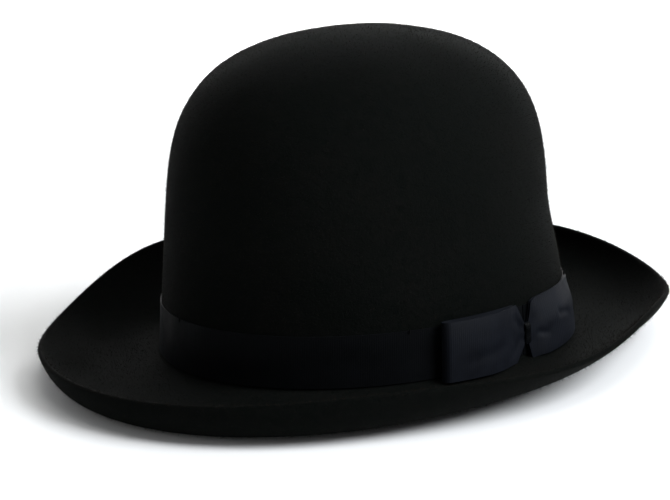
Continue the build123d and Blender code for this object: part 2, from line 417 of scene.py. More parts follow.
def nap_fibre(colour, worn):
    # Loose ends of dyed wool: mostly black, a few gone brown, with a little shine along each hair.
    material, tree = new_material("wool nap")
    place = add(tree, "ShaderNodeTexCoord").outputs["Object"]
    hair = add(tree, "ShaderNodeTexNoise", {"Vector": place, "Scale": per(2.0), "Detail": 2.0})
    spread = add(tree, "ShaderNodeMapRange", {"Value": hair.outputs["Fac"], "From Min": 0.4, "From Max": 0.75})
    bump = add(tree, "ShaderNodeBump", {"Height": hair.outputs["Fac"], "Strength": 0.2, "Distance": 0.0001})
    finish_material(tree, between(tree, spread.outputs[0], colour, worn), bump, Roughness=0.7,
                    Specular_IOR_Level=0.08)
    return material


def grosgrain(name, colour, lit, pitch, shine):
    # Rayon grosgrain: round cords across the ribbon, a soft silky shine between matte valleys, and a firm
    # selvedge. The cords are real shape; the fine warp over them is drawn here.
    material, tree = new_material(name)
    cloth = add(tree, "ShaderNodeUVMap", uv_map="cloth").outputs[0]
    place = add(tree, "ShaderNodeTexCoord").outputs["Object"]
    warp = add(tree, "ShaderNodeTexWave", {"Vector": cloth, "Scale": bands(0.45), "Distortion": 0.6,
                                           "Detail": 2.0}, bands_direction="Y")
    cords = add(tree, "ShaderNodeTexWave", {"Vector": cloth, "Scale": bands(pitch)}, bands_direction="X")
    cloud = add(tree, "ShaderNodeTexNoise", {"Vector": place, "Scale": per(14), "Detail": 4.0, "Roughness": 0.6})
    spread = add(tree, "ShaderNodeMapRange", {"Value": cloud.outputs["Fac"], "From Min": 0.3, "From Max": 0.75})
    # Painted highlight: the lit colour goes on the crests of the cords, where light would catch them.
    crest = add(tree, "ShaderNodeMath", {0: spread.outputs[0], 1: cords.outputs["Fac"]}, operation="MULTIPLY")
    rough = add(tree, "ShaderNodeMapRange", {"Value": cloud.outputs["Fac"], "From Min": 0.3, "From Max": 0.7,
                                             "To Min": 0.5, "To Max": 0.66})
    coarse = add(tree, "ShaderNodeBump", {"Height": cords.outputs["Fac"], "Strength": 0.35, "Distance": 0.0001})
    bump = add(tree, "ShaderNodeBump", {"Height": warp.outputs["Fac"], "Strength": 0.25, "Distance": 0.00006,
                                        "Normal": coarse.outputs["Normal"]})
    finish_material(tree, between(tree, crest.outputs[0], colour, lit), bump, Roughness=rough.outputs[0],
                    Sheen_Weight=0.02, Sheen_Roughness=0.35, Sheen_Tint=linear("#aab4c8"),
                    Specular_IOR_Level=shine)
    return material


def goat_leather(colour, dark):
    # Roan goatskin, dyed and glazed: small pebbled grain, creases, a dull shine that breaks up on the grain.
    material, tree = new_material("goat leather")
    place = add(tree, "ShaderNodeTexCoord").outputs["Object"]
    pebble = add(tree, "ShaderNodeTexVoronoi", {"Vector": place, "Scale": per(1.1), "Randomness": 1.0})
    crease = add(tree, "ShaderNodeTexNoise", {"Vector": place, "Scale": per(7), "Detail": 6.0, "Roughness": 0.65})
    spread = add(tree, "ShaderNodeMapRange", {"Value": crease.outputs["Fac"], "From Min": 0.35, "From Max": 0.7})
    coarse = add(tree, "ShaderNodeBump", {"Height": crease.outputs["Fac"], "Strength": 0.4, "Distance": 0.0004})
    bump = add(tree, "ShaderNodeBump", {"Height": pebble.outputs["Distance"], "Strength": 0.35,
                                        "Distance": 0.0002, "Normal": coarse.outputs["Normal"]})
    rough = add(tree, "ShaderNodeMapRange", {"Value": crease.outputs["Fac"], "From Min": 0.3, "From Max": 0.7,
                                             "To Min": 0.36, "To Max": 0.55})
    finish_material(tree, between(tree, spread.outputs[0], colour, dark), bump, Roughness=rough.outputs[0])
    return material


def satin(colour, shade):
    # Rayon satin: long floats that give a bright, directional shine along the folds.
    material, tree = new_material("lining satin")
    cloth = add(tree, "ShaderNodeUVMap", uv_map="cloth").outputs[0]
    place = add(tree, "ShaderNodeTexCoord").outputs["Object"]
    floats = add(tree, "ShaderNodeTexWave", {"Vector": cloth, "Scale": bands(0.5), "Distortion": 1.2,
                                             "Detail": 2.0}, bands_direction="X")
    cloud = add(tree, "ShaderNodeTexNoise", {"Vector": place, "Scale": per(22), "Detail": 3.0})
    spread = add(tree, "ShaderNodeMapRange", {"Value": cloud.outputs["Fac"], "From Min": 0.35, "From Max": 0.7})
    bump = add(tree, "ShaderNodeBump", {"Height": floats.outputs["Fac"], "Strength": 0.12, "Distance": 0.00005})
    finish_material(tree, between(tree, spread.outputs[0], colour, shade), bump, Roughness=0.32,
                    Anisotropic=0.4, Sheen_Weight=0.25, Sheen_Roughness=0.3, Specular_IOR_Level=0.6)
    return material


def woven(name, colour, lit, pitch):
    # Plain-woven cotton: small over-and-under checks, matte.
    material, tree = new_material(name)
    cloth = add(tree, "ShaderNodeUVMap", uv_map="cloth").outputs[0]
    over = add(tree, "ShaderNodeTexWave", {"Vector": cloth, "Scale": bands(pitch)}, bands_direction="X")
    under = add(tree, "ShaderNodeTexWave", {"Vector": cloth, "Scale": bands(pitch)}, bands_direction="Y")
    # Painted highlight: the lit colour goes where the threads cross over, as light on the raised crossings.
    weave = add(tree, "ShaderNodeMath", {0: over.outputs["Fac"], 1: under.outputs["Fac"]}, operation="MULTIPLY")
    bump = add(tree, "ShaderNodeBump", {"Height": weave.outputs[0], "Strength": 0.5, "Distance": 0.0001})
    finish_material(tree, between(tree, weave.outputs[0], colour, lit), bump, Roughness=0.85, Sheen_Weight=0.1)
    return material


def sewing_thread(name, colour, lit):
    # Twisted cotton thread: fine slanting plies, matte.
    material, tree = new_material(name)
    place = add(tree, "ShaderNodeTexCoord").outputs["Object"]
    twist = add(tree, "ShaderNodeTexWave", {"Vector": place, "Scale": bands(0.5), "Distortion": 1.0},
                bands_direction="DIAGONAL")
    bump = add(tree, "ShaderNodeBump", {"Height": twist.outputs["Fac"], "Strength": 0.4, "Distance": 0.0001})
    # Painted highlight: the lit colour follows the crests of the twisted plies.
    finish_material(tree, between(tree, twist.outputs["Fac"], colour, lit), bump, Roughness=0.75,
                    Specular_IOR_Level=0.05)
    return material


# ---------------------------------------------------------------- geometry nodes

def nodes_tree(name, inputs):
    """Empty geometry tree with a geometry input, named inputs and a geometry output."""
    tree = bpy.data.node_groups.new(name, "GeometryNodeTree")
    tree.interface.new_socket("Geometry", in_out="INPUT", socket_type="NodeSocketGeometry")
    for label, (kind, default) in inputs.items():
        tree.interface.new_socket(label, in_out="INPUT", socket_type=kind).default_value = default
    tree.interface.new_socket("Geometry", in_out="OUTPUT", socket_type="NodeSocketGeometry")
    return tree, add(tree, "NodeGroupInput").outputs


def close_tree(tree, instances, material):
    """End of a tree: real meshes with their material."""
    solid = add(tree, "GeometryNodeRealizeInstances", {"Geometry": instances})
    shown = add(tree, "GeometryNodeSetMaterial", {"Geometry": solid.outputs[0]})
    shown.inputs["Material"].default_value = material
    add(tree, "NodeGroupOutput", {0: shown.outputs[0]})


def nap_tree(material):
    """Fine closed spikes on the faces marked as brushed, leaning their own way."""
    tree, given = nodes_tree("felt nap", {
        "Density": ("NodeSocketFloat", 400000.0), "Length": ("NodeSocketFloat", 0.001),
        "Thickness": ("NodeSocketFloat", 0.00003), "Spread": ("NodeSocketFloat", 0.9),
        "Seed": ("NodeSocketInt", 4)})
    brushed = add(tree, "GeometryNodeInputNamedAttribute", {"Name": "brushed"}, data_type="FLOAT")
    amount = add(tree, "ShaderNodeMath", {0: brushed.outputs[0], 1: given["Density"]}, operation="MULTIPLY")
    points = add(tree, "GeometryNodeDistributePointsOnFaces",
                 {"Mesh": given["Geometry"], "Density": amount.outputs[0], "Seed": given["Seed"]})
    hair = add(tree, "GeometryNodeMeshCone", {"Vertices": 3, "Radius Top": 0.0, "Radius Bottom": 1.0, "Depth": 1.0})
    lean = add(tree, "FunctionNodeRandomValue", {0: (-1.0, -1.0, -1.0), 1: (1.0, 1.0, 1.0), "Seed": given["Seed"]},
               data_type="FLOAT_VECTOR")
    wide = add(tree, "ShaderNodeVectorMath", {0: lean.outputs[0], "Scale": given["Spread"]}, operation="SCALE")
    tilt = add(tree, "ShaderNodeVectorMath", {0: wide.outputs[0], 1: points.outputs["Normal"]}, operation="ADD")
    turn = add(tree, "FunctionNodeAlignRotationToVector", {"Vector": tilt.outputs[0]}, axis="Z")
    length = add(tree, "FunctionNodeRandomValue", {2: 0.35, 3: 1.0, "Seed": given["Seed"]}, data_type="FLOAT")
    long = add(tree, "ShaderNodeMath", {0: length.outputs[1], 1: given["Length"]}, operation="MULTIPLY")
    size = add(tree, "ShaderNodeCombineXYZ", {"X": given["Thickness"], "Y": given["Thickness"],
                                              "Z": long.outputs[0]})
    placed = add(tree, "GeometryNodeInstanceOnPoints",
                 {"Points": points.outputs["Points"], "Instance": hair.outputs["Mesh"],
                  "Rotation": turn.outputs[0], "Scale": size.outputs[0]})
    close_tree(tree, placed.outputs[0], material)
    return tree


def stitch_tree(material):
    """Short rounded stitches at an even pitch along a line of points."""
    tree, given = nodes_tree("stitches", {
        "Pitch": ("NodeSocketFloat", 0.003), "Length": ("NodeSocketFloat", 0.002),
        "Thickness": ("NodeSocketFloat", 0.0002)})
    line = add(tree, "GeometryNodeMeshToCurve", {"Mesh": given["Geometry"]})
    even = add(tree, "GeometryNodeResampleCurve", {"Curve": line.outputs[0], "Length": given["Pitch"]},
               mode="LENGTH")
    body = add(tree, "GeometryNodeMeshUVSphere", {"Segments": 6, "Rings": 5, "Radius": 1.0})
    run = add(tree, "GeometryNodeInputTangent")
    turn = add(tree, "FunctionNodeAlignRotationToVector", {"Vector": run.outputs[0]}, axis="Z")
    half = add(tree, "ShaderNodeMath", {0: given["Length"], 1: 0.5}, operation="MULTIPLY")
    size = add(tree, "ShaderNodeCombineXYZ", {"X": given["Thickness"], "Y": given["Thickness"],
                                              "Z": half.outputs[0]})
    placed = add(tree, "GeometryNodeInstanceOnPoints",
                 {"Points": even.outputs[0], "Instance": body.outputs["Mesh"], "Rotation": turn.outputs[0],
                  "Scale": size.outputs[0]})
    close_tree(tree, placed.outputs[0], material)
    return tree


def grow(name, base, tree, material, **values):
    """Plain mesh of a geometry tree run on a base object, with its named inputs set."""
    modifier = base.modifiers.new(name, "NODES")
    modifier.node_group = tree
    for item in tree.interface.items_tree:
        if item.in_out == "INPUT" and item.name in values:
            modifier[item.identifier] = values[item.name]
    graph = bpy.context.evaluated_depsgraph_get()
    mesh = bpy.data.meshes.new_from_object(base.evaluated_get(graph))
    base.modifiers.remove(modifier)
    mesh.name = name
    mesh.materials.clear()
    mesh.materials.append(material)
    if len(mesh.polygons) == 0:
        raise RuntimeError(name + " came out empty")
    return put(name, mesh)


def thread_line(points):
    """Open chain of edges for stitches to follow."""
    mesh = bpy.data.meshes.new("thread line")
    mesh.from_pydata(settle(points).tolist(), [(n, n + 1) for n in range(len(points) - 1)], [])
    return put("thread line", mesh)


# ---------------------------------------------------------------- bow

def bow_path(half, back, front, stand, puff, pinch_run, gap=0.3, steps=POINTS_BEHIND):
    """Flat path of a closed loop: (along, out) from the middle of the back round both ends.

    The sheet in front has more points than the one behind, for its folds."""
    fold = stand / 2
    rear = [(gap / 2 + (half - fold - gap / 2) * share, back) for share in np.linspace(0, 1, steps)]
    bend = [(half - fold + fold * math.sin(a), back + fold - fold * math.cos(a))
            for a in np.linspace(0, math.pi, POINTS_IN_BEND + 2)[1:-1]]
    fore = []
    for along in np.linspace(half - fold, 0, steps + 20):
        rise = smooth(along / pinch_run)
        belly = puff * math.sin(math.pi * min(along / (half - fold), 1.0)) * rise
        fore.append((along, front + (back + stand - front) * rise + belly))
    right = rear + bend + fore
    left = [(-along, out) for along, out in reversed(right[:-1])]
    return np.array(right), np.array(left)


def crease(along, rise, start, end, width, depth):
    """Soft straight fold in a sheet, from one (along, rise) point to another, fading at both ends."""
    run = np.array(end) - np.array(start)
    length = np.hypot(*run)
    run = run / length
    here = (along - start[0]) * run[0] + (rise - start[1]) * run[1]
    side = -(along - start[0]) * run[1] + (rise - start[1]) * run[0]
    fade = smooth(here / (0.25 * length) + 0.3) * smooth((length - here) / (0.45 * length))
    return -depth * fade * np.exp(-(side / width) ** 2)


# ---------------------------------------------------------------- settings

def colour_property(label, text, code):
    """Colour setting from an sRGB hex code."""
    return bpy.props.FloatVectorProperty(name=label, description=text, subtype="COLOR", size=4, min=0.0, max=1.0,
                                         default=linear(code))


def length_property(label, text, millimetres, low, high):
    """Length setting in metres, from a default and limits in millimetres."""
    return bpy.props.FloatProperty(name=label, description=text, default=millimetres / 1000, min=low / 1000,
                                   max=high / 1000, subtype="DISTANCE", unit="LENGTH", precision=5)


class BOWLER_PG_cloth(bpy.types.PropertyGroup):
    felt: colour_property("Felt", "Dyed wool felt", "#040605")
    felt_worn: colour_property("Felt, raised nap", "Felt where the nap stands up", "#090a09")
    nap: colour_property("Nap", "Loose fibre ends", "#080807")
    nap_worn: colour_property("Nap, faded", "Fibre ends gone brown", "#20180f")
    # The crest colours, ribbon_lit and bow_lit, are painted highlight on the cords.
    ribbon: colour_property("Ribbon", "Grosgrain in the valleys", "#040506")
    ribbon_lit: colour_property("Ribbon, crests", "Grosgrain on the cords", "#07080b")
    # bow and bow_lit are a lighter copy of the band's ribbon colours: painted light where the key lamp falls on the
    # bow.
    bow: colour_property("Bow", "Bow grosgrain in the valleys", "#090b10")
    bow_lit: colour_property("Bow, crests", "Bow grosgrain on the cords", "#10141c")
    leather: colour_property("Sweatband", "Goat leather", "#7a4a2b")
    leather_dark: colour_property("Sweatband, dark", "Goat leather in its creases", "#5c341c")
    lining: colour_property("Lining", "Rayon satin", "#ddd6c4")
    lining_shade: colour_property("Lining, shade", "Rayon satin where it is duller", "#cfc6b0")


class BOWLER_PG_sizes(bpy.types.PropertyGroup):
    nap_length: length_property("Nap length", "Longest loose fibre", 1.9, 0.1, 5)
    nap_thickness: length_property("Nap thickness", "Half width of a fibre at its root", 0.06, 0.005, 0.2)
    nap_density: bpy.props.FloatProperty(name="Nap density", description="Fibres on a square millimetre",
                                         default=0.5, min=0.0, max=2.0)
    rib_pitch: length_property("Rib pitch", "Cord spacing of the grosgrain, drawn twice as coarse as the real "
                               "half millimetre so that it shows", 1.0, 0.3, 3)
    rib_height: length_property("Rib height", "How far the cords stand up", 0.05, 0.0, 0.3)
    puff_front: length_property("Front loop puff", "Belly of the loop towards the front", 0.8, 0, 6)
    puff_back: length_property("Back loop puff", "Belly of the loop towards the back", 0.9, 0, 8)
    stitch_pitch: length_property("Stitch pitch", "Stitch spacing on the sweatband", 3.2, 1, 10)


# ---------------------------------------------------------------- operators

class BOWLER_OT_felt(bpy.types.Operator):
    """Felt body: crown and brim in one, with a rounded raw edge"""
    bl_idname = "bowler.felt"
    bl_label = "Felt body"

    def execute(self, context):
        cloth = context.scene.bowler_cloth
        around_hat = 288
        turn = np.arange(around_hat) / around_hat * math.tau
        # Rings on the crown, on the bend at its foot and on the brim.
        outer = np.concatenate([np.linspace(0.012, 1, 64), np.linspace(1, 2, 7)[1:], np.linspace(2, 3, 42)[1:]])
        inner = outer[::-1]
        rolls = np.linspace(0, math.pi, 11)[1:-1]

        def uneven(station):
            """Slight hand-blocked unevenness of the crown, in millimetres."""
            wave = station[:, None]
            return (0.30 * np.sin(3 * turn + 5 * wave + 0.7) + 0.18 * np.sin(7 * turn - 9 * wave + 2.0)
                    + 0.10 * np.sin(13 * turn + 17 * wave)) * smooth(wave * 3) * smooth((1.0 - wave) * 5)

        upper = hood_point(turn[None, :], outer[:, None], uneven(outer))
        under = hood_point(turn[None, :], inner[:, None], FELT + uneven(inner))
        edge = rim_point(turn[None, :], rolls[:, None])
        rows = np.concatenate([upper, edge, under])
        poles = np.array([[0, CROWN_LEAN, CROWN_HEIGHT], [0, CROWN_LEAN, CROWN_HEIGHT - FELT]])
        points = np.concatenate([rows.reshape(-1, 3), poles])
        count = len(rows) * around_hat
        last = count - around_hat
        faces = quads(len(rows), around_hat, True)
        faces += [(count, (n + 1) % around_hat, n) for n in range(around_hat)]
        faces += [(count + 1, last + n, last + (n + 1) % around_hat) for n in range(around_hat)]
        piece = new_piece("felt_body", points, faces, wool_felt(cloth.felt, cloth.felt_worn), sharp=80)
        brushed = piece.data.attributes.new("brushed", "FLOAT", "POINT")
        # Share of the nap: full on the crown, thick along the raw edge, thin under the brim and none inside.
        mark = np.concatenate([np.where(outer < 2, 1.0, 0.8), np.full(len(rolls), 4.0),
                               np.where(inner > 2.02, 0.4, 0.0)])
        brushed.data.foreach_set("value", np.concatenate([np.repeat(mark, around_hat), [1.0, 0.0]]))
        ride(piece, "wool_felt", "felt_hood")
        return {"FINISHED"}


class BOWLER_OT_nap(bpy.types.Operator):
    """Short loose nap that stands off the felt"""
    bl_idname = "bowler.nap"
    bl_label = "Nap"

    def execute(self, context):
        cloth, sizes = context.scene.bowler_cloth, context.scene.bowler_sizes
        material = nap_fibre(cloth.nap, cloth.nap_worn)
        tree = nap_tree(material)
        body = bpy.data.objects["felt_body"]
        # Two layers of half the fibres each: long ones, and shorter ones that lean more. Square metres here.
        layers = ("felt_nap_1", 1.0, 0.9, 11), ("felt_nap_2", 0.65, 1.4, 12)
        for name, share, spread, seed in layers:
            piece = grow(name, body, tree, material, Density=sizes.nap_density * 1e6 / len(layers),
                         Length=sizes.nap_length * share, Thickness=sizes.nap_thickness, Spread=spread, Seed=seed)
            ride(piece, "wool_felt")
        return {"FINISHED"}


class BOWLER_OT_band(bpy.types.Operator):
    """Ribbon band round the foot of the crown, with its tacks"""
    bl_idname = "bowler.band"
    bl_label = "Hat band"

    def execute(self, context):
        cloth, sizes = context.scene.bowler_cloth, context.scene.bowler_sizes
        pitch = sizes.rib_pitch * 1000
        first, last = butt(BOW_DIRECTION, 0.5)
        turn = np.linspace(first, last, int(round(CROWN_ROUND / pitch)) * POINTS_ON_RIB + 1)[:, None]
        across = np.linspace(0, 1, 11)[None, :]
        # Between its edges the ribbon stands off and lies close by turns.
        snug = 0.18 * np.sin(5 * turn + 1) * np.sin(math.pi * across) ** 2
        grid = wall_point(turn, BAND_LOW + BAND_WIDTH * across, BAND_OFF + 0.25 + snug)
        material = grosgrain("grosgrain ribbon", cloth.ribbon, cloth.ribbon_lit, pitch, 0.04)
        piece = cloth_solid("hat_band_ribbon", grid, BAND_CLOTH, material,
                            ribs(grid, pitch, sizes.rib_height * 1000))
        ride(piece, "grosgrain", "hat_band")
        thread = sewing_thread("black thread", linear("#040404"), linear("#080808"))
        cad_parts["band_tacks"].data.materials.clear()
        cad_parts["band_tacks"].data.materials.append(thread)
        return {"FINISHED"}


class BOWLER_OT_bow(bpy.types.Operator):
    """Pinched ribbon bow and its knot on the wearer's left"""
    bl_idname = "bowler.bow"
    bl_label = "Bow"

    def execute(self, context):
        cloth, sizes = context.scene.bowler_cloth, context.scene.bowler_sizes
        pitch, tall = sizes.rib_pitch * 1000, sizes.rib_height * 1000
        # The bow's lighter colours are painted light: it is the same ribbon as the band, drawn as if lit by the key
        # lamp.
        material = grosgrain("bow grosgrain painted lighter", cloth.bow, cloth.bow_lit, pitch, 0.10)
        middle = BOW_WIDTH / 2 - 0.1
        back = BAND_OFF + BEHIND_BOW
        # The loop that runs towards the back of the hat is long and flat, the other is shorter and stands open.
        right, _ = bow_path(BOW_HALF, back, back + 0.8, stand=BOW_STAND - 1.4, puff=sizes.puff_back * 1000,
                            pinch_run=12.0)
        _, left = bow_path(BOW_HALF - 4.2, back, back + 0.8, stand=BOW_STAND + 0.9,
                           puff=sizes.puff_front * 1000, pinch_run=30.0)
        along, out = along_and_out(right, left)
        across = np.linspace(-1, 1, 41)[None, :]
        size = np.abs(along)
        pinched = np.exp(-(size / 5) ** 2)
        rearward = smooth((along + 1) / 3)
        # From the waist in the knot the back loop widens at once and the front one evenly.
        waist, clear = BOW_PINCH - 0.4, size - 0.6
        widen = rearward * smooth(clear / 3.5) + (1 - rearward) * np.clip(clear / 8.0, 0, 1)
        droop = 0.8 * rearward * smooth((along - 8) / 36) * smooth(across)
        rise = (waist + (BOW_WIDTH / 2 - waist) * widen) * across - BOW_SINK * pinched - droop

        # The front sheet has folds at the knot, creases and a slight sag, from halfway round each bend on.
        bend, blend = POINTS_BEHIND + POINTS_IN_BEND // 2, 14
        front = np.concatenate([smooth((np.arange(len(right)) - bend) / blend),
                                smooth((len(left) - bend - np.arange(len(left))) / blend)])[:, None]
        folds = 0.10 * pinched * np.cos(2.6 * math.pi * across + 0.5)
        creases = (((6, -2), (16, -5), 1.6, 0.5), ((24, 2), (42, -1), 1.8, 0.7), ((-3, 1), (-14, 10), 2.4, 0.5),
                   ((-3, -1), (-16, -11), 2.4, 0.5), ((-16, -2), (-46, -6), 3.0, 0.35))
        lines = sum(crease(along, rise, *line) for line in creases)
        sag = 0.4 * (1 - across ** 2) * smooth(size / 30)
        # The back loop lies shut against the crown along its top edge and gapes along its lower one.
        shut = 0.8 * rearward * smooth(along / 10) * smooth((across + 0.1) / 1.1)
        gape = 0.35 * rearward * smooth(along / 12) * smooth(-across)
        lifted = back + (out - back) * (1 - shut + gape)
        turn = math.radians(BOW_DIRECTION) + along / HALF_LENGTH
        grid = wall_point(turn + 0 * rise, middle + rise, lifted + front * (folds + lines + sag))
        piece = cloth_solid("bow_ribbon", grid, BOW_CLOTH, material, ribs(grid, pitch, tall), sharp=60)
        ride(piece, "grosgrain", "bow_loops")

        wrap_half = BOW_PINCH + 0.6
        up, out = along_and_out(*bow_path(wrap_half, BAND_OFF + 0.85, BAND_OFF + 3.7, stand=2.8, puff=0.2,
                                          pinch_run=3.0, steps=24))
        across = np.linspace(-1, 1, 25)[None, :]
        half = KNOT_HALF - 0.8 + 0.3 * (np.abs(up) / wrap_half) ** 2
        pleat = 0.10 * np.cos(3 * math.pi * across + 0.35 * np.sin(up / 3)) - 0.5 * across ** 2
        turn = math.radians(BOW_DIRECTION) + half * across / HALF_LENGTH
        grid = wall_point(turn, middle - BOW_SINK + up + 0 * across, out + pleat * smooth((out - 2) / 2))
        # The knot takes the darker band ribbon, not the bow's lighter copy, as painted shade in the waist between
        # the loops.
        knot = cloth_solid("bow_knot_ribbon", grid, BOW_CLOTH, bpy.data.materials["grosgrain ribbon"],
                           ribs(grid, pitch, tall), sharp=60)
        ride(knot, "grosgrain", "bow_knot")
        return {"FINISHED"}


class BOWLER_OT_sweatband(bpy.types.Operator):
    """Leather sweatband with its reed, tape and stitches"""
    bl_idname = "bowler.sweatband"
    bl_label = "Sweatband"

    def execute(self, context):
        cloth, sizes = context.scene.bowler_cloth, context.scene.bowler_sizes
        turn = np.linspace(*butt(180, 0.8), 361)[:, None]
        height = np.linspace(REED_DROP + REED_RADIUS + 0.2, LEATHER_TOP, 19)[None, :]
        # The leather stands off the felt towards its free top edge, unevenly round the head.
        slack = 0.35 * np.sin(4 * turn + 0.4) * smooth(height / LEATHER_TOP) + 0.5 * smooth(height / 30)
        centre = -LEATHER_DEPTH - LEATHER / 2
        grid = wall_point(turn, height, centre - slack)
        piece = cloth_solid("sweatband_leather", grid, LEATHER, goat_leather(cloth.leather, cloth.leather_dark))
        ride(piece, "sweatband_leather", "sweatband")

        # The tape comes down the felt side of the leather and under the reed.
        reach = REED_RADIUS + 0.1 + TAPE / 2
        down, bends = np.linspace(TAPE_TOP, 0, 8), np.linspace(0, math.pi, 13)
        heights = np.concatenate([down, REED_DROP - reach * np.sin(bends)])
        outs = np.concatenate([0 * down + centre + reach, centre + reach * np.cos(bends)])
        grid = wall_point(turn, heights[None, :], outs[None, :] + 0 * turn)
        tape = cloth_solid("reed_tape_cloth", grid, TAPE, woven("cotton tape", linear("#0d0d0e"),
                                                                linear("#1d1d1f"), 0.6))
        ride(tape, "tape_cotton", "reed_tape")

        thread = sewing_thread("tan thread", linear("#8a6844"), linear("#b08c62"))
        seam_height, seam_out = 3.2, -LEATHER_DEPTH - LEATHER - 0.1
        line = thread_line(wall_point(turn[:, 0], seam_height, seam_out + 0 * turn[:, 0]))
        seam = grow("sweatband_stitches", line, stitch_tree(thread), thread, Pitch=sizes.stitch_pitch,
                    Length=sizes.stitch_pitch * 0.7, Thickness=0.00022)
        bpy.data.objects.remove(line)
        ride(seam, "black_thread")
        cord = sewing_thread("reed cord", linear("#b9ad92"), linear("#d8ccb0"))
        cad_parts["reed"].data.materials.clear()
        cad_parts["reed"].data.materials.append(cord)
        return {"FINISHED"}


class BOWLER_OT_lining(bpy.types.Operator):
    """Satin lining: gathered side and flat tip"""
    bl_idname = "bowler.lining"
    bl_label = "Lining"

    def execute(self, context):
        cloth = context.scene.bowler_cloth
        material = satin(cloth.lining, cloth.lining_shade)
        turn = np.linspace(*butt(180, 0.4), 481)[:, None]
        height = np.linspace(LINING_LOW, LINING_TOP, 49)[None, :]
        grid = wall_point(turn, height, -lining_depth(height) - 0.15 - self.drape(turn, height))
        side = cloth_solid("lining_side_satin", grid, THIN_CLOTH, material)
        ride(side, "lining_satin", "lining_side")

        # The tip's edge is tucked behind the top of the side.
        start = math.sqrt((CROWN_HEIGHT - LINING_TOP + 1.5) / (CROWN_HEIGHT - BREAK))
        station = np.linspace(start, 0.01, 26)[None, :]
        round_hat = np.linspace(0, math.tau, 240, endpoint=False)[:, None]
        tuck = 0.5 * smooth((station / start - 0.8) / 0.2)
        grid = hood_point(round_hat, station, lining_depth(LINING_TOP) + 0.15 - tuck)
        tip = self.dome(grid, material)
        ride(tip, "lining_satin", "lining_tip")
        thread = sewing_thread("ivory thread", linear("#cfc6b0"), linear("#e6dfcd"))
        seam_height = LINING_TOP - 1.2
        seam_out = -lining_depth(seam_height) - 0.35 - self.drape(turn[:, 0], seam_height)
        line = thread_line(wall_point(turn[:, 0], seam_height, seam_out))
        seam = grow("lining_stitches", line, stitch_tree(thread), thread, Pitch=0.003, Length=0.0022,
                    Thickness=0.0002)
        bpy.data.objects.remove(line)
        ride(seam, "black_thread")
        return {"FINISHED"}

    def drape(self, turn, height):
        """How far the gathered satin hangs off the felt."""
        pleats = 0.5 + 0.5 * np.sin(46 * turn + 1.5 * np.sin(3 * turn)) * smooth((height - 60) / 50)
        swags = 0.5 + 0.5 * np.sin(9 * turn + height / 24)
        return (1.1 * swags + 0.9 * pleats) * smooth((height - LEATHER_TOP) / 40)

    def dome(self, grid, material):
        """Closed thin dome from rings that run from the edge to the middle."""
        spokes, rings = grid.shape[:2]
        upper = grid.transpose(1, 0, 2)
        top, drop = upper[-1].mean(0), UP * THIN_CLOTH
        points = np.concatenate([upper.reshape(-1, 3), (upper - drop).reshape(-1, 3), [top, top - drop]])
        count = rings * spokes
        last = count - spokes
        faces = quads(rings, spokes, True) + quads(rings, spokes, True, count, True)
        for spoke in range(spokes):
            after = (spoke + 1) % spokes
            faces.append((spoke, spoke + count, after + count, after))
            faces.append((last + spoke, last + after, 2 * count))
            faces.append((count + last + after, count + last + spoke, 2 * count + 1))
        return new_piece("lining_tip_satin", points, faces, material, points[:, :2])


class BOWLER_OT_trim(bpy.types.Operator):
    """Small bow over the joint of the leather, and the size label"""
    bl_idname = "bowler.trim"
    bl_label = "Inner trim"

    def execute(self, context):
        face, middle = LEATHER_DEPTH + LEATHER + 0.9, LEATHER_TOP / 2
        tape = woven("bow tape", linear("#0d0d0e"), linear("#232326"), 0.7)
        along, out = along_and_out(*bow_path(11.0, face, face + 0.6, stand=2.2, puff=0.5, pinch_run=6.0, steps=24))
        across = np.linspace(-1, 1, 13)[None, :]
        half = 1.6 + 1.4 * smooth(np.abs(along) / 6)
        gather = 0.25 * np.exp(-(np.abs(along) / 3) ** 2) * np.cos(3 * math.pi * across)
        grid = wall_point(BACK + along / HALF_WIDTH + 0 * across, middle + half * across, -(out + gather))
        loops = cloth_solid("small_bow_ribbon", grid, THIN_CLOTH, tape)
        ride(loops, "tape_cotton", "sweatband_bow")
        up, out = along_and_out(*bow_path(2.3, face - 0.3, face + 1.3, stand=1.6, puff=0.2, pinch_run=1.0, steps=12))
        grid = wall_point(BACK + 1.1 * across / HALF_WIDTH + 0 * up, middle + up + 0 * across,
                          -(out + 0.08 * np.cos(3 * math.pi * across)))
        ride(cloth_solid("small_bow_knot", grid, THIN_CLOTH, tape), "tape_cotton")

        turn = math.radians(LABEL_DIRECTION) + np.linspace(-8, 8, 17)[:, None] / HALF_LENGTH
        height = np.linspace(-4.5, 4.5, 10)[None, :] + middle
        grid = wall_point(turn, height, -face + 0 * turn)
        label = cloth_solid("size_label_cloth", grid, THIN_CLOTH,
                            woven("label cloth", linear("#cfc7b3"), linear("#e9e3d3"), 0.7))
        ride(label, "label_cloth", "size_label")
        return {"FINISHED"}


